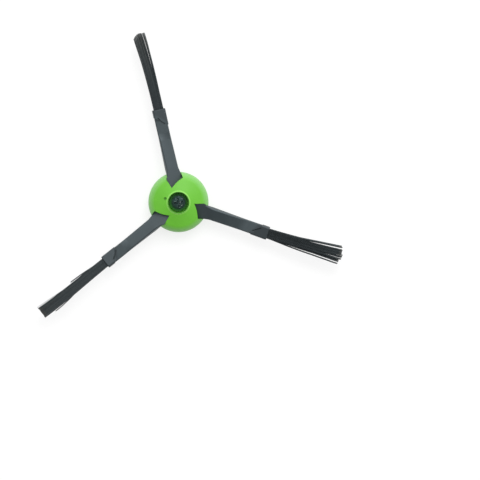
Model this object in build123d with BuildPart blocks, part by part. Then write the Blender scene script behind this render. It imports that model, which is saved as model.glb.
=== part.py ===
from build123d import *
import os
from math import radians, sin, tan
from random import Random

# Side brush of a floor-cleaning robot, lying with its domed face up.
# Millimetres, Z along the drive axis, origin on the axis in the plane of the hub's base.

# Hub: outer form
HUB_DIAMETER = 30.2
RIM_HEIGHT = 12.2
DOME_SLOPE = 15.0
EDGE_RADIUS = 4.6
BASE_CHAMFER = 0.5
LIP_WIDTH = 0.5
LIP_HEIGHT = 0.4
LIP_ROUND = 0.3
GATE_DIAMETER = 1.4
GATE_DEPTH = 1.0
GATE_DISTANCE = 6.9
GATE_AZIMUTH = 153.0

# Hub: drive socket, web, screw bore and the cored pockets between the arms
SOCKET_WIDTH = 7.6
SOCKET_CORNER = 0.6
SOCKET_DEPTH = 5.5
WEB_THICKNESS = 1.9
BORE_DIAMETER = 10.4
HEAD_CLEARANCE = 0.35
HUB_WALL = 2.1
BOSS_DIAMETER = 17.4
CORE_DEPTH = 6.6
CORE_SPAN = 32.0
CORE_LEAD = 56.0

# Notch in the dome that each arm leaves through: its point, its leading and its trailing side
ARM_COUNT = 3
FIRST_ARM_AZIMUTH = 90.0
APEX_WALL = 2.45
APEX_SHIFT = 2.0
NOTCH_LEAD = 3.6
NOTCH_TRAIL = 4.5
LEAD_INSET = 3.05
TRAIL_INSET = 3.3
TRAIL_BULGE = 0.4
NOTCH_SINK = 0.6
MOUTH_GAP = 0.15

# Arm: root flange under the dome, twisted blade, rolled sleeve beyond a slanting crease with a groove
ARM_SWAYS = (2.0, -2.0, 0.1)
ARM_HEIGHT = 8.0
ARM_SHIFT = 0.15
FLANGE = 0.6
FLANGE_INSET = 2.2
FLANGE_SINK = 1.7
ROOT_INSET = 1.4
ROOT_ROLL = 20.0
ROOT_THICKNESS = 3.0
FLARE_INSET = 2.7
FLARE_WIDTH = 8.1
FLARE_SHIFT = -0.12
NECK_REACH = 2.2
NECK_WIDTH = 6.3
TWIST_REACH = 16.9
TWIST_ROLL = 11.0
TWIST_WIDTH = 5.95
BLADE_THICKNESS = 2.5
FLAT_REACH = 20.4
FLAT_WIDTH = 6.1
CREASE_REACH = 26.4
CREASE_ANGLE = 55.0
GROOVE_ANGLE = 36.0
GROOVE_LENGTH = 4.6
GROOVE_WIDTH = 0.5
GROOVE_DEPTH = 0.9
BLADE_CHAMFER = 0.4
SLEEVE_LENGTH = 6.1
SLEEVE_WIDTH = 6.55
SLEEVE_THICKNESS = 3.6
SLEEVE_CORNER = 0.8
SLEEVE_ROLL = 8.0
SLEEVE_RISE = 4.0
MOUTH_CHAMFER = 0.25

# Bristle tuft: root plug in the sleeve and filaments that fan out from it
PLUG_DEPTH = 3.6
PLUG_WIDTH = 5.3
PLUG_THICKNESS = 2.0
PLUG_CORNER = 0.8
FILAMENT_DIAMETER = 0.36
FILAMENT_PITCH = 0.4
FILAMENT_ROOTING = 0.3
TUFT_LENGTH = 40.0
TUFT_EXTRAS = (-0.3, 1.3, -0.6)
TUFT_RAGGEDNESS = 1.6
TUFT_BEND = 0.45
TUFT_FANS = (1.31, 1.2, 1.95)
TUFT_CURLS = (1.3, 0.0, 2.4)
TUFT_LOFT = 1.3

# Captive screw
HEAD_DIAMETER = 9.0
HEAD_HEIGHT = 2.4
HEAD_EDGE = 1.2
NECK_DIAMETER = 3.0
NECK_CLEARANCE = 0.1
THREAD_DIAMETER = 4.0
THREAD_GAP = 0.3
THREAD_TIP = 0.6
THREAD_CHAMFER = 0.6
RECESS_LENGTH = 4.6
RECESS_WIDTH = 1.0
RECESS_DEPTH = 1.4
RECESS_DRAFT = 8.0

rim = HUB_DIAMETER / 2
lip_radius = BORE_DIAMETER / 2 + LIP_WIDTH
hub_top = RIM_HEIGHT + LIP_HEIGHT
seat_height = SOCKET_DEPTH + WEB_THICKNESS
arm_pitch = 360 / ARM_COUNT
root_point = (rim, ARM_SHIFT, ARM_HEIGHT)
groove_floor = BLADE_THICKNESS / 2 - GROOVE_DEPTH

os.makedirs("parts", exist_ok=True)


def arm_plane(index):
    """Base plane turned so that its x axis runs out along one arm."""
    return Plane.XY.rotated((0, 0, FIRST_ARM_AZIMUTH + index * arm_pitch))


def blade_frame(index):
    """Frame at the hub's rim on the arm's mid line, x along the arm, z up."""
    base = arm_plane(index)
    heading = base.x_dir.rotate(Axis.Z, ARM_SWAYS[index])
    return Plane(base.from_local_coords(root_point), x_dir=heading, z_dir=(0, 0, 1))


def across(frame, distance, roll):
    """Plane across the arm, its x axis along the blade's width with the leading edge raised."""
    width_dir = frame.y_dir.rotate(Axis((0, 0, 0), frame.x_dir), roll)
    return Plane(frame.from_local_coords((distance, 0, 0)), x_dir=width_dir, z_dir=frame.x_dir)


def sleeve_start(index):
    """Plane across the sleeve at the crease, rolled and raised from the blade."""
    section = across(blade_frame(index), CREASE_REACH, SLEEVE_ROLL)
    along = section.z_dir.rotate(Axis((0, 0, 0), section.x_dir), -SLEEVE_RISE)
    return Plane(section.origin, x_dir=section.x_dir, z_dir=along)


def sleeve_end(index):
    """Plane of the sleeve's mouth, x across the tuft and z along its bristles."""
    return sleeve_start(index).offset(SLEEVE_LENGTH)


def root_top(frame):
    """Plane of the arm root's upper face, rolled with the blade."""
    section = across(frame, 0, ROOT_ROLL)
    origin = section.from_local_coords((0, ROOT_THICKNESS / 2, 0))
    return Plane(origin, x_dir=frame.x_dir, z_dir=section.y_dir)


def notch_outline():
    """Outline of a notch seen from above, with the arm along x."""
    apex = (BORE_DIAMETER / 2 + APEX_WALL, APEX_SHIFT)
    lead = (rim - LEAD_INSET, NOTCH_LEAD)
    trail = (rim - TRAIL_INSET, -NOTCH_TRAIL)
    mouth = rim + NECK_REACH
    mouth_trail = (mouth, -NECK_WIDTH / 2 - MOUTH_GAP)
    with BuildLine() as outline:
        Polyline(apex, lead, (mouth, NOTCH_LEAD), mouth_trail, trail)
        SagittaArc(trail, apex, -TRAIL_BULGE)
    return outline.line


# Arms
arms = []
for index in range(ARM_COUNT):
    frame = blade_frame(index)
    crease_normal = frame.y_dir.rotate(Axis.Z, CREASE_ANGLE)
    groove_dir = frame.x_dir.rotate(Axis.Z, GROOVE_ANGLE)

    with BuildPart() as sleeve:
        mouth_plane = sleeve_end(index)
        with BuildSketch(mouth_plane):
            RectangleRounded(SLEEVE_WIDTH, SLEEVE_THICKNESS, SLEEVE_CORNER)
        extrude(amount=-2 * SLEEVE_LENGTH)
        chamfer(sleeve.faces().sort_by_distance(mouth_plane.origin)[0].edges(), MOUTH_CHAMFER)
        split(bisect_by=Plane(sleeve_start(index).origin, z_dir=crease_normal), keep=Keep.BOTTOM)

    with BuildPart() as root:
        with BuildSketch(arm_plane(index)):
            make_face(notch_outline())
            Circle(rim - ROOT_INSET, mode=Mode.INTERSECT)
        extrude(amount=hub_top)
        with BuildSketch(root_top(frame)):
            Rectangle(4 * HUB_DIAMETER, 4 * HUB_DIAMETER)
        extrude(amount=-ROOT_THICKNESS, mode=Mode.INTERSECT)

    with BuildPart() as arm:
        with BuildSketch(arm_plane(index)):
            make_face(notch_outline())
            offset(amount=FLANGE)
            Circle(rim - FLANGE_INSET, mode=Mode.INTERSECT)
        extrude(amount=hub_top)
        with BuildSketch(root_top(frame).offset(-FLANGE_SINK)):
            Rectangle(4 * HUB_DIAMETER, 4 * HUB_DIAMETER)
        extrude(amount=FLANGE_SINK - ROOT_THICKNESS, mode=Mode.INTERSECT)
        add(root.part)
        stations = (
            (-FLARE_INSET, ROOT_ROLL, FLARE_WIDTH, ROOT_THICKNESS, FLARE_SHIFT, 90 + ROOT_ROLL),
            (NECK_REACH, ROOT_ROLL, NECK_WIDTH, ROOT_THICKNESS, 0, 90),
            (TWIST_REACH, TWIST_ROLL, TWIST_WIDTH, BLADE_THICKNESS, 0, 90),
            (FLAT_REACH, 0, FLAT_WIDTH, BLADE_THICKNESS, 0, 90),
            (CREASE_REACH, 0, FLAT_WIDTH, BLADE_THICKNESS, 0, 90),
            (CREASE_REACH + SLEEVE_LENGTH / 2, SLEEVE_ROLL, FLAT_WIDTH, BLADE_THICKNESS, 0, 90),
        )
        for distance, roll, width, thickness, shift, lead_angle in stations:
            with BuildSketch(across(frame, distance, roll)) as section:
                with Locations((shift, 0)):
                    Trapezoid(width, thickness, 90, lead_angle)
                chamfer(section.vertices(), BLADE_CHAMFER)
        loft(ruled=True)
        add(sleeve.part)
        with BuildSketch(mouth_plane):
            RectangleRounded(PLUG_WIDTH, PLUG_THICKNESS, PLUG_CORNER)
        extrude(amount=-PLUG_DEPTH, mode=Mode.SUBTRACT)
        with BuildSketch(Plane(frame.from_local_coords((CREASE_REACH, 0, groove_floor)), x_dir=groove_dir)):
            Rectangle(GROOVE_LENGTH, GROOVE_WIDTH)
        extrude(amount=SLEEVE_THICKNESS, mode=Mode.SUBTRACT)

    arm.part.label = f"arm_{index + 1}"
    export_step(arm.part, f"parts/arm_{index + 1}.step")
    arms.append(arm.part)

# Bristle tufts, each built upright on its root and then laid along its sleeve
columns = int((PLUG_WIDTH - FILAMENT_DIAMETER) / FILAMENT_PITCH)
row_pitch = FILAMENT_PITCH * sin(radians(60))
rows = int((PLUG_THICKNESS - FILAMENT_DIAMETER) / row_pitch) + 1
for index in range(ARM_COUNT):
    lengths = Random(index)
    full_length = TUFT_LENGTH + TUFT_EXTRAS[index]
    bend = TUFT_BEND * full_length
    fan = TUFT_FANS[index]
    half_fan = 1 + (fan - 1) * TUFT_BEND
    curl = TUFT_CURLS[index]
    half_curl = curl * TUFT_BEND ** 2

    with BuildPart() as tuft:
        with BuildSketch():
            RectangleRounded(PLUG_WIDTH, PLUG_THICKNESS, PLUG_CORNER)
        extrude(amount=-PLUG_DEPTH)
        filaments = []
        for row in range(rows):
            height = (row - (rows - 1) / 2) * row_pitch
            count = columns - row % 2
            for column in range(count):
                side = (column - (count - 1) / 2) * FILAMENT_PITCH
                length = full_length - TUFT_RAGGEDNESS * lengths.random()
                steps = (
                    (-FILAMENT_ROOTING, side, height),
                    (bend, side * half_fan + half_curl, height * TUFT_LOFT),
                    (length, side * fan + curl, height * TUFT_LOFT ** 2),
                )
                for distance, x, y in steps:
                    with BuildSketch(Plane.XY.offset(distance)):
                        with Locations((x, y)):
                            RegularPolygon(FILAMENT_DIAMETER / 2, 6)
                filaments.append(loft(ruled=True, mode=Mode.PRIVATE))
        add(filaments)

    laid_tuft = tuft.part.moved(sleeve_end(index).location)
    laid_tuft.label = f"tuft_{index + 1}"
    export_step(laid_tuft, f"parts/tuft_{index + 1}.step")

# Hub
with BuildPart() as notch:
    with BuildSketch():
        make_face(notch_outline())
    extrude(amount=2 * hub_top)
    with BuildSketch(root_top(Plane(root_point)).offset(-NOTCH_SINK)):
        Rectangle(4 * HUB_DIAMETER, 4 * HUB_DIAMETER)
    extrude(amount=2 * hub_top, mode=Mode.INTERSECT)

with BuildPart() as hub:
    with BuildSketch(Plane.XZ) as profile:
        shoulder = RIM_HEIGHT - (rim - lip_radius) * tan(radians(DOME_SLOPE))
        with BuildLine():
            Polyline(
                (0, 0),
                (rim - BASE_CHAMFER, 0),
                (rim, BASE_CHAMFER),
                (rim, shoulder),
                (lip_radius, RIM_HEIGHT),
                (lip_radius, hub_top),
                (0, hub_top),
                close=True,
            )
        make_face()
        fillet(profile.vertices().group_by(Axis.X)[-1].sort_by(Axis.Y)[-1], EDGE_RADIUS)
    revolve(axis=Axis.Z)
    fillet(hub.edges().group_by(Axis.Z)[-1], LIP_ROUND)
    with Locations((0, 0, (seat_height + hub_top) / 2)):
        Cone(HEAD_DIAMETER / 2 + HEAD_CLEARANCE, BORE_DIAMETER / 2, hub_top - seat_height, mode=Mode.SUBTRACT)
    with Locations((0, 0, seat_height)):
        Hole(NECK_DIAMETER / 2 + NECK_CLEARANCE)
    with BuildSketch():
        RectangleRounded(SOCKET_WIDTH, SOCKET_WIDTH, SOCKET_CORNER)
    extrude(amount=SOCKET_DEPTH, mode=Mode.SUBTRACT)
    with BuildSketch():
        core_outer = rim - HUB_WALL
        core_inner = BOSS_DIAMETER / 2
        for index in range(ARM_COUNT):
            middle = FIRST_ARM_AZIMUTH + index * arm_pitch + CORE_LEAD
            with BuildLine():
                path = CenterArc((0, 0), (core_outer + core_inner) / 2, middle - CORE_SPAN / 2, CORE_SPAN)
            SlotArc(path, core_outer - core_inner)
    extrude(amount=CORE_DEPTH, mode=Mode.SUBTRACT)
    with PolarLocations(0, ARM_COUNT, FIRST_ARM_AZIMUTH):
        add(notch.part, mode=Mode.SUBTRACT)
    add(arms, mode=Mode.SUBTRACT)
    gate_top = RIM_HEIGHT - (GATE_DISTANCE - lip_radius) * tan(radians(DOME_SLOPE))
    with BuildSketch(Plane.XY.offset(gate_top - GATE_DEPTH)):
        with PolarLocations(GATE_DISTANCE, 1, GATE_AZIMUTH):
            Circle(GATE_DIAMETER / 2)
    extrude(amount=2 * GATE_DEPTH, mode=Mode.SUBTRACT)

hub.part.label = "hub"
export_step(hub.part, "parts/hub.step")

# Captive screw: the thread is too wide for the hole in the web, so it stays with the hub
thread_top = SOCKET_DEPTH - THREAD_GAP
head_top = seat_height + HEAD_HEIGHT
with BuildPart() as screw:
    with BuildSketch(Plane.XZ):
        with BuildLine():
            TangentArc((0, head_top), (HEAD_DIAMETER / 2, seat_height + HEAD_EDGE), tangent=(1, 0))
            Polyline(
                (0, head_top),
                (0, THREAD_TIP),
                (THREAD_DIAMETER / 2 - THREAD_CHAMFER, THREAD_TIP),
                (THREAD_DIAMETER / 2, THREAD_TIP + THREAD_CHAMFER),
                (THREAD_DIAMETER / 2, thread_top),
                (NECK_DIAMETER / 2, thread_top),
                (NECK_DIAMETER / 2, seat_height),
                (HEAD_DIAMETER / 2, seat_height),
                (HEAD_DIAMETER / 2, seat_height + HEAD_EDGE),
            )
        make_face()
    revolve(axis=Axis.Z)
    with BuildSketch(Plane.XY.offset(head_top)):
        Rectangle(RECESS_LENGTH, RECESS_WIDTH)
        Rectangle(RECESS_WIDTH, RECESS_LENGTH)
    extrude(amount=-RECESS_DEPTH, taper=RECESS_DRAFT, mode=Mode.SUBTRACT)

screw.part.label = "screw"
export_step(screw.part, "parts/screw.step")
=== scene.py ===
import math
from collections import namedtuple
from random import Random

import bpy
import numpy as np
from mathutils import Matrix, Vector


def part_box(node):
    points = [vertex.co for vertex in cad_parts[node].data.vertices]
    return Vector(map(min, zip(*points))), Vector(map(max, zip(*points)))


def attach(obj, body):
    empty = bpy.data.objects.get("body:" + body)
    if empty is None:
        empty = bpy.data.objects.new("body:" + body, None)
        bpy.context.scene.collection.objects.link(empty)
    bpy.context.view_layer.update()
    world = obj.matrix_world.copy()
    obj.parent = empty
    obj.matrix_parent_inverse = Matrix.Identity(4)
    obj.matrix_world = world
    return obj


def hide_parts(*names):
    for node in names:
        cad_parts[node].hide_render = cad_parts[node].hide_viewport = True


# Side brush of a floor-cleaning robot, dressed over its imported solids. Metres and degrees, Z up.
UP = Vector((0, 0, 1))
WHITE = (1, 1, 1)

# View: a long lens almost straight above the hub, with a pixel of the picture for the hub's axis
FRAME_WIDTH = 0.240
FRAME_PIXELS = 480
HUB_PIXEL = (178.5, 202.6)
UP_AZIMUTH = 79.4
VIEW_TILT = 2.2
VIEW_DISTANCE = 1.5
SENSOR_WIDTH = 36.0

# Stage and light: a white floor under a sky that is bright on one side and dim on the other
FLOOR_RADIUS = 1.2
FLOOR_CORNERS = 64
FLOOR_DROP = 0.0001
FLOOR_COLOUR = (0.9, 0.9, 0.9)
FLOOR_ROUGHNESS = 0.9
FLOOR_GLOW = 0.68
FLOOR_LEVEL = 1.08
LIGHT_AZIMUTH = 65.0
SKY_STRENGTH = 0.9
SKY_SLOPE = 0.85
KEY_ELEVATION = 55.0
KEY_DISTANCE = 0.9
KEY_SIZE = 0.5
KEY_POWER = 2.5

# Materials: a noise is a scale and a detail, a ramp is places from 0 to 1 with their colours
EDGE_SAMPLES = 6

# Hub: green plastic with a fine moulded grain
HUB_CLOUD = (90.0, 4.0)
HUB_SKIN = ((0.3, (0.122, 0.450, 0.026)), (0.7, (0.140, 0.492, 0.033)))
HUB_GRAIN = (2600.0, 2.0)
HUB_GRAIN_STRENGTH = 0.12
HUB_GRAIN_DEPTH = 0.00004
HUB_EDGE = 0.0003
HUB_ROUGHNESS = (0.36, 0.46)
HUB_SPECULAR = 0.35

# Painted sheen on the hub's shoulder, standing for the white surroundings reflected at grazing angles, paler
# outwards between two radii and upwards between two heights
SHOULDER_RADII = (0.0120, 0.0151)
SHOULDER_HEIGHTS = (0.0045, 0.0075)
SHOULDER_PALENESS = 0.36
SHOULDER_SHEEN_COLOUR = (0.44, 0.62, 0.42)

# Painted highlight: a pale ring on the lip round the hub's bore; and painted shade on the bore's edge, which
# fades out on the way down
LIP_RISE = 0.0004
LIP_RADIUS = 0.0062
LIP_SOFTNESS = 0.0002
LIP_HIGHLIGHT_COLOUR = (0.27, 0.64, 0.11)
BORE_RADIUS = 0.0056
BORE_SOFTNESS = 0.0003
BORE_DEPTH = 0.0026
BORE_SHADE = 0.85
BORE_SHADE_COLOUR = (0.008, 0.18, 0.002)

# Arms: dark slate rubber with a faint bloom and a fine grain
ARM_BLOOM = (160.0, 5.0)
ARM_SKIN = ((0.3, (0.011, 0.017, 0.019)), (0.75, (0.018, 0.026, 0.028)))
ARM_GRAIN = (3200.0, 2.0)
ARM_GRAIN_STRENGTH = 0.2
ARM_GRAIN_DEPTH = 0.00005
ARM_EDGE = 0.00025
ARM_ROUGHNESS = (0.40, 0.52)
ARM_IOR = 1.6
ARM_SPECULAR = 0.72
ARM_SPECULAR_TINT = (0.80, 0.93, 1.0)

# Crease across each arm, beyond which the sleeve has a darker skin
CREASE_REACH = 0.0415
CREASE_ANGLE = 55.0
CREASE_SOFTNESS = 0.0004
SLEEVE_COLOUR = (0.003, 0.005, 0.006)

# Painted light in the grooves and corners of each arm, a paler colour that lifts their shade, strongest
# where they are least open
GROOVE_LIGHT_REACH = 0.0010
GROOVE_LIGHT_SAMPLES = 8
GROOVE_LIGHT_OPENNESS = (0.2, 0.7)
GROOVE_LIGHT_AMOUNT = {"arm_1": 0.9, "arm_2": 0.5, "arm_3": 0.0}
GROOVE_LIGHT_COLOUR = (0.14, 0.16, 0.17)

# Screw: blackened steel with a painted green reflection of the bore, painted glints that thin out between
# two radii, and a stronger painted green reflection on the head's rim
SCREW_MOTTLE = (700.0, 4.0)
SCREW_BLACK_AND_REFLECTION = ((0.3, (0.022, 0.042, 0.040)), (0.8, (0.058, 0.102, 0.098)))
SCREW_EDGE = 0.0002
SCREW_METALLIC = 0.85
SCREW_ROUGHNESS = (0.42, 0.60)
GLINT_NOISE = (1500.0, 1.0)
GLINT_LEVELS = (0.66, 0.72)
GLINT_RADII = (0.0020, 0.0032)
GLINT_OUTSIDE = 0.1
GLINT_COLOUR = (0.45, 0.52, 0.50)
RIM_REFLECTION_RADII = (0.0032, 0.0042)
RIM_REFLECTION_SHARE = 0.9
RIM_REFLECTION_COLOUR = (0.105, 0.320, 0.095)

# Bristles: black nylon, from the darkest shade of a filament to its pale cut end
BRISTLE_SHADES = ((0.0, (0.001, 0.001, 0.001)), (0.5, (0.030, 0.036, 0.038)), (1.0, (0.10, 0.10, 0.095)))
BRISTLE_ROUGHNESS = 0.38
BRISTLE_SPECULAR = 0.42
BRISTLE_SPECULAR_TINT = (0.78, 0.93, 1.0)
PLUG_SHADE = 0.0
CUT_END_SHADE = 1.0

# Root plug of each tuft, and the filaments that stand on it in staggered rows
PLUG_DEPTH = 0.0036
PLUG_RECESS = 0.0006
PLUG_WIDTH = 0.0053
PLUG_THICKNESS = 0.0020
PLUG_CORNERS = 32
PLANE_TOLERANCE = 1e-6
BUNDLE_THICKNESS = 0.0018
BUNDLE_LOFT = 0.69
FILAMENT_COLUMNS = 18
FILAMENT_ROWS = 7
FILAMENT_DIAMETER = 0.00029
FILAMENT_SIDES = 8
FILAMENT_RINGS = 20
FILAMENT_ROOTING = 0.002
FILAMENT_WANDER = 0.00014
FILAMENT_STREAK = 0.15
STRAY_DIAMETER = 0.0002
STRAY_SPREAD = 0.2

# Spread towards the cut end, where filaments draw together into fingers that are cut to different lengths
FAN_POWER = 0.85
FINGERS = 9
FINGER_START = 0.55
FINGER_CUT_SHARE = 0.7
ROUNDING_POWER = 1.5

# Places across a tuft run from -1 to 1, and starts and ends along its bristles from 0 to 1. A split opens a
# gap beyond its place. A stray is a count of fine filaments that stand off on one side. A filament is seen
# at its place as it looks from above, and up is its height in the bundle.
Split = namedtuple("Split", "place gap start")
Stray = namedtuple("Stray", "side stand_off start end count")
Filament = namedtuple("Filament", "place seen up length wander stray")

# Each tuft: its width at the root and at the cut end, its sideways curl, its single and double bow, how far
# the end is trimmed, rounded off on either side and ragged, how far its filaments clump into fingers, and
# its tone at the root and at the end, which holds painted light and shade: lighter on a tuft that leans
# towards the light, darker on one that leans away, and paler at the end, lifting the shade between spread
# filaments
TUFTS = {
    "tuft_1": {
        "width": 0.0049, "end_width": 0.0050, "curl": 0.0022, "bow": (0.0001, 0.0),
        "trim": 0.0003, "rounding": (-0.0003, 0.0018), "ragged": 0.0010, "clump": 0.1, "tone_and_light": (0.37, 0.80),
        "splits": (Split(-0.78, 0.0006, 0.22),),
        "strays": (Stray(-1, 0.0005, 0.6, 0.97, 1), Stray(1, 0.0004, 0.5, 0.93, 2)),
    },
    "tuft_2": {
        "width": 0.0047, "end_width": 0.0055, "curl": 0.0001, "bow": (0.00035, -0.0001),
        "trim": 0.0006, "rounding": (0.0, 0.0), "ragged": 0.0004, "clump": 0.0, "tone_and_light": (0.44, 0.56),
        "splits": (),
        "strays": (Stray(-1, 0.0010, 0.12, 0.48, 9), Stray(-1, 0.0009, 0.55, 0.99, 1),
                   Stray(1, 0.0011, 0.48, 0.84, 5)),
    },
    "tuft_3": {
        "width": 0.0050, "end_width": 0.0066, "curl": 0.0029, "bow": (0.0003, 0.0),
        "trim": 0.0003, "rounding": (0.0002, 0.0014), "ragged": 0.0014, "clump": 0.15, "tone_and_light": (0.0, 0.50),
        "splits": (Split(-0.9, 0.0008, 0.03), Split(-0.74, 0.0006, 0.12), Split(-0.45, 0.0004, 0.62),
                   Split(-0.2, 0.0003, 0.8), Split(0.78, 0.0008, 0.40)),
        "strays": (),
    },
}


def heading(azimuth, elevation=0.0):
    """Unit vector at an azimuth and an elevation."""
    turn = math.radians(azimuth)
    rise = math.radians(elevation)
    level = math.cos(rise)
    return Vector((level * math.cos(turn), level * math.sin(turn), math.sin(rise)))


def aim(obj, target, up):
    """Turns an object so that its -Z axis points at the target with the given up direction."""
    back = (obj.location - target).normalized()
    right = up.cross(back).normalized()
    obj.rotation_euler = Matrix((right, back.cross(right), back)).transposed().to_euler()


def add_object(name, data):
    """New object in the scene for a camera, a lamp or a mesh."""
    obj = bpy.data.objects.new(name, data)
    bpy.context.collection.objects.link(obj)
    return obj


def add_camera(bore_top):
    """Camera whose picture puts the top of the hub's bore on its pixel."""
    east = heading(UP_AZIMUTH - 90)
    upwards = heading(UP_AZIMUTH, -VIEW_TILT)
    pixel = FRAME_WIDTH / FRAME_PIXELS
    middle = FRAME_PIXELS / 2
    target = bore_top + pixel * ((middle - HUB_PIXEL[0]) * east + (HUB_PIXEL[1] - middle) * upwards)
    data = bpy.data.cameras.new("camera")
    data.sensor_width = SENSOR_WIDTH
    data.lens = SENSOR_WIDTH * VIEW_DISTANCE / FRAME_WIDTH
    camera = add_object("camera", data)
    camera.location = bore_top + VIEW_DISTANCE * heading(UP_AZIMUTH, 90 - VIEW_TILT)
    aim(camera, target, heading(UP_AZIMUTH))
    bpy.context.scene.camera = camera


def opaque(colour):
    """Colour with the alpha that shader sockets ask for."""
    return (*colour, 1)


class Nodes:
    """Short way to add and link shader nodes in one tree."""

    # Sockets of a mix node that hold its two colours and their mix
    MIX_FIRST = 6
    MIX_SECOND = 7
    MIX_RESULT = 2

    def __init__(self, tree):
        self.tree = tree

    def set(self, node, values):
        """Links a node's inputs to the sockets among the values, and sets the others."""
        for socket, value in values.items():
            if isinstance(value, bpy.types.NodeSocket):
                self.tree.links.new(value, node.inputs[socket])
            else:
                node.inputs[socket].default_value = value

    def add(self, kind, values=None, **settings):
        """New node with its settings and inputs."""
        node = self.tree.nodes.new(kind)
        for name, value in settings.items():
            setattr(node, name, value)
        self.set(node, values or {})
        return node

    def place(self):
        """Point on the object, in the frame that all pieces share."""
        return self.add("ShaderNodeTexCoord").outputs["Object"]

    def along(self, place, direction):
        """How far a place lies along a direction."""
        node = self.add("ShaderNodeVectorMath", {0: place, 1: direction}, operation="DOT_PRODUCT")
        return node.outputs["Value"]

    def from_axis(self, place):
        """How far a place lies from the hub's axis."""
        level = self.add("ShaderNodeVectorMath", {0: place, 1: (1, 1, 0)}, operation="MULTIPLY")
        length = self.add("ShaderNodeVectorMath", {0: level.outputs["Vector"]}, operation="LENGTH")
        return length.outputs["Value"]

    def noise(self, place, scale, detail):
        """Soft random pattern from 0 to 1."""
        values = {"Vector": place, "Scale": scale, "Detail": detail}
        return self.add("ShaderNodeTexNoise", values).outputs["Fac"]

    def combine(self, operation, first, second):
        """Result of an operation on two numbers."""
        return self.add("ShaderNodeMath", {0: first, 1: second}, operation=operation).outputs["Value"]

    def map(self, value, ends, results):
        """Number that goes from the first result to the second as a value goes from end to end."""
        spread = dict(zip(("From Min", "From Max", "To Min", "To Max"), (*ends, *results)))
        return self.add("ShaderNodeMapRange", {"Value": value, **spread}).outputs["Result"]

    def ramp(self, factor, stops):
        """Colour that goes through the stops of a ramp."""
        node = self.add("ShaderNodeValToRGB", {"Fac": factor})
        elements = node.color_ramp.elements
        while len(elements) < len(stops):
            elements.new(stops[-1][0])
        for element, (position, colour) in zip(elements, stops):
            element.position = position
            element.color = opaque(colour)
        return node.outputs["Color"]

    def blend(self, factor, first, second):
        """Colour that goes from a socket's colour to a plain one."""
        node = self.add("ShaderNodeMix", {"Factor": factor}, data_type="RGBA")
        self.set(node, {self.MIX_FIRST: first, self.MIX_SECOND: opaque(second)})
        return node.outputs[self.MIX_RESULT]

    def soft_edges(self, radius):
        """Normal that rounds off sharp edges."""
        return self.add("ShaderNodeBevel", {"Radius": radius}, samples=EDGE_SAMPLES).outputs["Normal"]

    def grained(self, normal, grain, strength, depth):
        """Normal roughened by a grain."""
        values = {"Normal": normal, "Height": grain, "Strength": strength, "Distance": depth}
        return self.add("ShaderNodeBump", values).outputs["Normal"]


def new_material(name):
    """Material with a bare principled shader, its nodes and that shader."""
    material = bpy.data.materials.new(name)
    material.use_nodes = True
    return material, Nodes(material.node_tree), material.node_tree.nodes["Principled BSDF"]


def hub_material(hub_top):
    """Green satin plastic, with a painted sheen on its shoulder, a painted highlight on its lip and painted
    shade at the bore's edge.
    """
    material, nodes, shader = new_material("hub_plastic")
    place = nodes.place()
    radius = nodes.from_axis(place)
    height = nodes.along(place, UP)
    grain = nodes.noise(place, *HUB_GRAIN)
    lip_foot = hub_top - LIP_RISE

    outwards = nodes.map(radius, SHOULDER_RADII, (0, SHOULDER_PALENESS))
    upwards = nodes.map(height, SHOULDER_HEIGHTS, (0, 1))
    ring = nodes.map(radius, (LIP_RADIUS - LIP_SOFTNESS, LIP_RADIUS), (1, 0))
    on_top = nodes.map(height, (lip_foot - LIP_SOFTNESS, lip_foot), (0, 1))
    inside = nodes.map(radius, (BORE_RADIUS - BORE_SOFTNESS, BORE_RADIUS), (BORE_SHADE, 0))
    near_edge = nodes.map(height, (hub_top - BORE_DEPTH, lip_foot), (0, 1))

    colour = nodes.ramp(nodes.noise(place, *HUB_CLOUD), HUB_SKIN)
    # Painted sheen: the shoulder is made paler where it would reflect the white floor
    colour = nodes.blend(nodes.combine("MULTIPLY", outwards, upwards), colour, SHOULDER_SHEEN_COLOUR)
    # Painted highlight: a pale ring on the lip
    colour = nodes.blend(nodes.combine("MULTIPLY", ring, on_top), colour, LIP_HIGHLIGHT_COLOUR)
    # Painted shade: the bore's upper edge is darkened, fading out on the way down
    colour = nodes.blend(nodes.combine("MULTIPLY", inside, near_edge), colour, BORE_SHADE_COLOUR)
    nodes.set(shader, {
        "Base Color": colour,
        "Roughness": nodes.map(grain, (0, 1), HUB_ROUGHNESS),
        "Specular IOR Level": HUB_SPECULAR,
        "Normal": nodes.grained(nodes.soft_edges(HUB_EDGE), grain, HUB_GRAIN_STRENGTH, HUB_GRAIN_DEPTH),
    })
    return material


def crease_of(arm):
    """Level direction square to an arm's crease, and how far along it the crease lies."""
    tip = max((vertex.co for vertex in arm.data.vertices), key=lambda point: point.xy.length)
    azimuth = math.degrees(math.atan2(tip.y, tip.x))
    square = heading(azimuth + CREASE_ANGLE - 90)
    return square, CREASE_REACH * heading(azimuth).dot(square)


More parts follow.
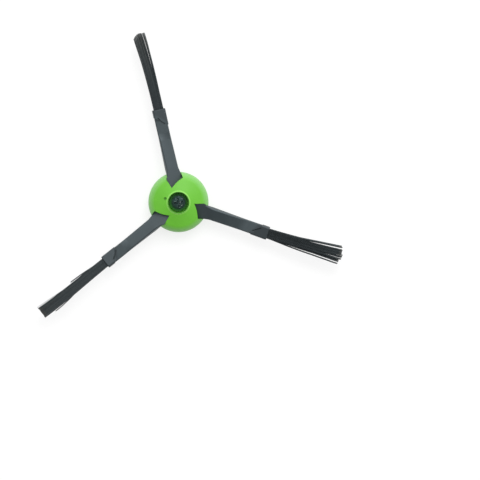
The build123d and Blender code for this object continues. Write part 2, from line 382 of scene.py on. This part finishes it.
def arm_material(arm):
    """Dark slate rubber, darker on the sleeve past the crease, with painted light that lifts the shade in
    its grooves.
    """
    material, nodes, shader = new_material(arm.name + "_rubber")
    place = nodes.place()
    bloom = nodes.noise(place, *ARM_BLOOM)
    grain = nodes.noise(place, *ARM_GRAIN)
    square, crease = crease_of(arm)
    crease_ends = (crease - CREASE_SOFTNESS, crease + CREASE_SOFTNESS)
    sleeve = nodes.map(nodes.along(place, square), crease_ends, (0, 1))
    openness = nodes.add("ShaderNodeAmbientOcclusion", {"Distance": GROOVE_LIGHT_REACH}, samples=GROOVE_LIGHT_SAMPLES)
    groove_light = nodes.map(openness.outputs["AO"], GROOVE_LIGHT_OPENNESS, (GROOVE_LIGHT_AMOUNT[arm.name], 0))

    colour = nodes.ramp(bloom, ARM_SKIN)
    colour = nodes.blend(sleeve, colour, SLEEVE_COLOUR)
    # Painted light: a paler colour where the arm is least open, lifting the shade in grooves and corners
    colour = nodes.blend(groove_light, colour, GROOVE_LIGHT_COLOUR)
    nodes.set(shader, {
        "Base Color": colour,
        "Roughness": nodes.map(bloom, (0, 1), ARM_ROUGHNESS),
        "IOR": ARM_IOR,
        "Specular IOR Level": ARM_SPECULAR,
        "Specular Tint": opaque(ARM_SPECULAR_TINT),
        "Normal": nodes.grained(nodes.soft_edges(ARM_EDGE), grain, ARM_GRAIN_STRENGTH, ARM_GRAIN_DEPTH),
    })
    return material


def bristle_material():
    """Black nylon, in the shade that each filament's mesh carries, with painted light and shade from its
    tuft's tone.
    """
    material, nodes, shader = new_material("bristle")
    shade = nodes.add("ShaderNodeAttribute", attribute_name="shade").outputs["Fac"]
    nodes.set(shader, {
        "Base Color": nodes.ramp(shade, BRISTLE_SHADES),
        "Roughness": BRISTLE_ROUGHNESS,
        "Specular IOR Level": BRISTLE_SPECULAR,
        "Specular Tint": opaque(BRISTLE_SPECULAR_TINT),
    })
    return material


def screw_material():
    """Blackened steel with a painted green reflection, painted glints in the middle of its head and a
    stronger painted green reflection on the head's rim.
    """
    material, nodes, shader = new_material("screw_steel")
    place = nodes.place()
    radius = nodes.from_axis(place)
    mottle = nodes.noise(place, *SCREW_MOTTLE)
    rim = nodes.map(radius, RIM_REFLECTION_RADII, (0, RIM_REFLECTION_SHARE))
    glints = nodes.map(nodes.noise(place, *GLINT_NOISE), GLINT_LEVELS, (0, 1))
    in_middle = nodes.map(radius, GLINT_RADII, (1, GLINT_OUTSIDE))

    # Blackened steel tinted with a painted green reflection of the bore, stronger on the head's rim
    colour = nodes.ramp(mottle, SCREW_BLACK_AND_REFLECTION)
    colour = nodes.blend(rim, colour, RIM_REFLECTION_COLOUR)
    # Painted glints: pale specks in the middle of the head
    colour = nodes.blend(nodes.combine("MULTIPLY", glints, in_middle), colour, GLINT_COLOUR)
    nodes.set(shader, {
        "Base Color": colour,
        "Metallic": SCREW_METALLIC,
        "Roughness": nodes.map(mottle, (0, 1), SCREW_ROUGHNESS),
        "Normal": nodes.soft_edges(SCREW_EDGE),
    })
    return material


def floor_material():
    """Pale floor, whose glow in the picture and in reflections keeps its shadows faint."""
    material, nodes, shader = new_material("floor")
    nodes.set(shader, {"Base Color": opaque(FLOOR_COLOUR), "Roughness": FLOOR_ROUGHNESS})
    glow = nodes.add("ShaderNodeEmission", {"Color": opaque(WHITE), "Strength": FLOOR_LEVEL})
    rays = nodes.add("ShaderNodeLightPath").outputs
    seen = nodes.combine("MAXIMUM", rays["Is Camera Ray"], rays["Is Glossy Ray"])
    share = nodes.combine("MULTIPLY", seen, FLOOR_GLOW)
    surfaces = {1: shader.outputs["BSDF"], 2: glow.outputs["Emission"]}
    mix = nodes.add("ShaderNodeMixShader", {0: share, **surfaces})
    nodes.set(material.node_tree.nodes["Material Output"], {"Surface": mix.outputs["Shader"]})
    return material


def paint(obj, material):
    """Gives an object one material in place of any that it has."""
    obj.data.materials.clear()
    obj.data.materials.append(material)


def add_floor():
    """Round floor just under the brush."""
    bpy.ops.mesh.primitive_circle_add(
        vertices=FLOOR_CORNERS, radius=FLOOR_RADIUS, fill_type="NGON", location=(0, 0, -FLOOR_DROP))
    floor = bpy.context.object
    floor.name = "floor"
    paint(floor, floor_material())


def add_sky():
    """Sky that brightens towards one side."""
    world = bpy.data.worlds.new("sky")
    world.use_nodes = True
    nodes = Nodes(world.node_tree)
    direction = nodes.add("ShaderNodeTexCoord").outputs["Generated"]
    side = nodes.along(direction, heading(LIGHT_AZIMUTH))
    levels = [SKY_STRENGTH * (1 + sign * SKY_SLOPE) for sign in (-1, 1)]
    nodes.set(world.node_tree.nodes["Background"], {
        "Color": opaque(WHITE),
        "Strength": nodes.map(side, (-1, 1), levels),
    })
    bpy.context.scene.world = world


def add_key():
    """Soft key light on the bright side of the sky."""
    data = bpy.data.lights.new("key", "AREA")
    data.shape = "DISK"
    data.size = KEY_SIZE
    data.energy = KEY_POWER
    key = add_object("key", data)
    key.location = KEY_DISTANCE * heading(LIGHT_AZIMUTH, KEY_ELEVATION)
    aim(key, Vector(), UP)


def plug_frame(node):
    """Matrix at the flat end of a tuft's plug: x across the tuft, y up through it, z along the bristles."""
    end = min(node.data.polygons, key=lambda face: face.center.xy.length)
    corners = [vertex.co for vertex in node.data.vertices]
    points = np.array([co for co in corners if abs((co - end.center).dot(end.normal)) < PLANE_TOLERANCE])
    middle = points.mean(0)
    across = Vector(np.linalg.svd(points - middle)[2][0])
    along = -end.normal.normalized()
    up = along.cross(across)
    if up.z < 0:
        up.negate()
    across = up.cross(along)
    return Matrix.Translation(middle) @ Matrix((across, up, along)).transposed().to_4x4()


class TubeMesh:
    """Collects closed tubes in a tuft's frame, with a shade for each of their rings."""

    def __init__(self):
        self.points = []
        self.faces = []
        self.shades = []

    def add_rings(self, rings, shades):
        """Skin over rings of equal counts of points, closed at both ends."""
        first = len(self.points)
        count = len(rings[0])
        for ring, shade in zip(rings, shades):
            self.points.extend(ring)
            self.shades.extend([shade] * count)
        for step in range(len(rings) - 1):
            low = first + step * count
            for corner in range(count):
                nearby = (corner + 1) % count
                self.faces.append((low + corner, low + nearby, low + nearby + count, low + corner + count))
        last = first + (len(rings) - 1) * count
        self.faces.append(tuple(range(last, last + count)))
        self.faces.append(tuple(range(first + count - 1, first - 1, -1)))

    def add_filament(self, path, radius, shades):
        """Round tube along a path."""
        turns = [2 * math.pi * corner / FILAMENT_SIDES for corner in range(FILAMENT_SIDES)]
        circle = [(radius * math.cos(turn), radius * math.sin(turn)) for turn in turns]
        up = Vector((0, 1, 0))
        rings = []
        for step, centre in enumerate(path):
            ahead = path[min(step + 1, len(path) - 1)] - path[max(step - 1, 0)]
            side = up.cross(ahead).normalized()
            rise = ahead.cross(side).normalized()
            rings.append([centre + x * side + y * rise for x, y in circle])
        self.add_rings(rings, shades)

    def add_plug(self):
        """Potted root with rounded sides, a little sunk in the sleeve's mouth."""
        half = PLUG_THICKNESS / 2
        straight = PLUG_WIDTH / 2 - half
        turns = [2 * math.pi * (corner + 0.5) / PLUG_CORNERS for corner in range(PLUG_CORNERS)]
        outline = [(math.copysign(straight, math.cos(turn)) + half * math.cos(turn), half * math.sin(turn))
                   for turn in turns]
        rings = [[Vector((x, y, z)) for x, y in outline] for z in (0.0, PLUG_DEPTH - PLUG_RECESS)]
        self.add_rings(rings, (PLUG_SHADE, PLUG_SHADE))

    def build(self, name):
        """Mesh of all the tubes, smooth round their sides and flat at their ends."""
        mesh = bpy.data.meshes.new(name)
        mesh.from_pydata(self.points, [], self.faces)
        mesh.attributes.new("shade", "FLOAT", "POINT").data.foreach_set("value", self.shades)
        for face in mesh.polygons:
            face.use_smooth = len(face.vertices) == 4
        return mesh


def rise_from(share, start, end):
    """Smooth rise from 0 at the start to 1 at the end."""
    return math.sin(math.pi / 2 * min(1.0, max(0.0, (share - start) / (end - start))))


def finger_of(place):
    """Which finger of the tuft's end a filament belongs to."""
    return min(FINGERS - 1, max(0, int((place + 1) / 2 * FINGERS)))


class Tuft:
    """Nylon filaments on a plug, where a tuft's plain solid is."""

    def __init__(self, form, node, seed):
        self.form = form
        self.chance = Random(seed)
        self.matrix = plug_frame(node)
        inverse = self.matrix.inverted()
        self.full_length = max((inverse @ vertex.co).z for vertex in node.data.vertices) - PLUG_DEPTH
        self.sky = inverse.to_3x3() @ UP
        self.finger_cuts = [self.chance.random() for finger in range(FINGERS)]
        self.tubes = TubeMesh()
        self.tubes.add_plug()
        self.grow_bundle()
        self.grow_strays()

    def grow_bundle(self):
        """Filaments in staggered rows."""
        for row in range(FILAMENT_ROWS):
            count = FILAMENT_COLUMNS - row % 2
            up = (row - (FILAMENT_ROWS - 1) / 2) * BUNDLE_THICKNESS / FILAMENT_ROWS
            for column in range(count):
                place = (2 * column - count + 1) / (FILAMENT_COLUMNS - 1)
                self.grow(place, up, self.full_length - self.cut(place), FILAMENT_DIAMETER)

    def cut(self, place):
        """How far a filament falls short of the full length."""
        rounding = self.form["rounding"][place > 0] * abs(place) ** ROUNDING_POWER
        together = FINGER_CUT_SHARE * self.finger_cuts[finger_of(place)]
        alone = (1 - FINGER_CUT_SHARE) * self.chance.random()
        return self.form["trim"] + rounding + self.form["ragged"] * (together + alone)

    def grow_strays(self):
        """Fine filaments that stand off at the sides."""
        for stray in self.form["strays"]:
            for filament in range(stray.count):
                place = stray.side * (1 - filament * STRAY_DIAMETER / self.form["width"] / 2)
                up = self.chance.uniform(-STRAY_SPREAD, STRAY_SPREAD) * BUNDLE_THICKNESS
                length = self.full_length * stray.end - self.chance.random() * self.form["ragged"]
                self.grow(place, up, length, STRAY_DIAMETER, stray)

    def grow(self, place, up, length, diameter, stray=None):
        """One filament with a streak and a wander of its own; seen is its place as it looks from above."""
        # The tuft's tone is the nylon's shade with painted light and shade for how light falls on the tuft
        root_tone_and_light, end_tone_and_light = self.form["tone_and_light"]
        streak = self.chance.uniform(-FILAMENT_STREAK, FILAMENT_STREAK)
        shades = [max(0.0, root_tone_and_light + streak + (end_tone_and_light - root_tone_and_light) * (ring / FILAMENT_RINGS) ** 2)
                  for ring in range(FILAMENT_RINGS)]
        wander = [self.chance.gauss(0, FILAMENT_WANDER) for axis in range(2)]
        seen = place - 2 * up / self.form["width"] * self.sky.x / self.sky.y
        path = self.path(Filament(place, seen, up, length, wander, stray))
        self.tubes.add_filament(path, diameter / 2, shades + [CUT_END_SHADE])

    def path(self, filament):
        """Points along a filament, from inside the plug to its cut end."""
        points = []
        for ring in range(FILAMENT_RINGS + 1):
            reach = ring / FILAMENT_RINGS * (filament.length + FILAMENT_ROOTING) - FILAMENT_ROOTING
            share = max(0.0, reach / self.full_length)
            rise = filament.up * (1 + BUNDLE_LOFT * share) + filament.wander[1] * share ** 2
            points.append(Vector((self.across(filament, share), rise, PLUG_DEPTH + reach)))
        return points

    def across(self, filament, share):
        """How far across the tuft a filament is at a share of the full length."""
        form = self.form
        fan = (form["end_width"] - form["width"]) * share ** FAN_POWER
        half = (form["width"] + fan - FILAMENT_DIAMETER) / 2
        finger_middle = (2 * finger_of(filament.seen) + 1) / FINGERS - 1
        drawn = form["clump"] * rise_from(share, FINGER_START, 1)
        single, double = form["bow"]
        x = half * (filament.place + drawn * (finger_middle - filament.seen))
        x += single * math.sin(math.pi * share) + double * math.sin(2 * math.pi * share)
        x += (form["curl"] + filament.wander[0]) * share ** 2
        for split in form["splits"]:
            if split.place * (filament.seen - split.place) > 0:
                x += math.copysign(split.gap, split.place) * rise_from(share, split.start, 1)
        if filament.stray:
            stray = filament.stray
            x += stray.side * stray.stand_off * rise_from(share, stray.start, stray.end)
        return x


def add_tuft(name, node, material, seed):
    """Fine bristles in place of a tuft's plain solid."""
    tuft = Tuft(TUFTS[name], node, seed)
    bristles = add_object(name + "_bristles", tuft.tubes.build(name + "_bristles"))
    bristles.matrix_world = tuft.matrix
    paint(bristles, material)
    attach(bristles, "brush")
    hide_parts(name)


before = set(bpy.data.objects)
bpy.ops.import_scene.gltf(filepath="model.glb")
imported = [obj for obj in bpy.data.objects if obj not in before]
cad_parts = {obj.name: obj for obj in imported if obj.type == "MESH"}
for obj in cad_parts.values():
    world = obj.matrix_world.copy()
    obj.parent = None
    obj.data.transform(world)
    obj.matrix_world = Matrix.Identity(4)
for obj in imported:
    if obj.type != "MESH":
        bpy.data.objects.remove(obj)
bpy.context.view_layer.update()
bpy.context.scene.view_settings.view_transform = "Standard"

hub_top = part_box("hub")[1].z
add_camera(Vector((0, 0, hub_top)))
add_floor()
add_sky()
add_key()

bristle = bristle_material()
for name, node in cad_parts.items():
    if name.startswith("tuft"):
        add_tuft(name, node, bristle, seed=sorted(TUFTS).index(name))
    elif name.startswith("arm"):
        paint(node, arm_material(node))
    elif name == "hub":
        paint(node, hub_material(hub_top))
    else:
        paint(node, screw_material())
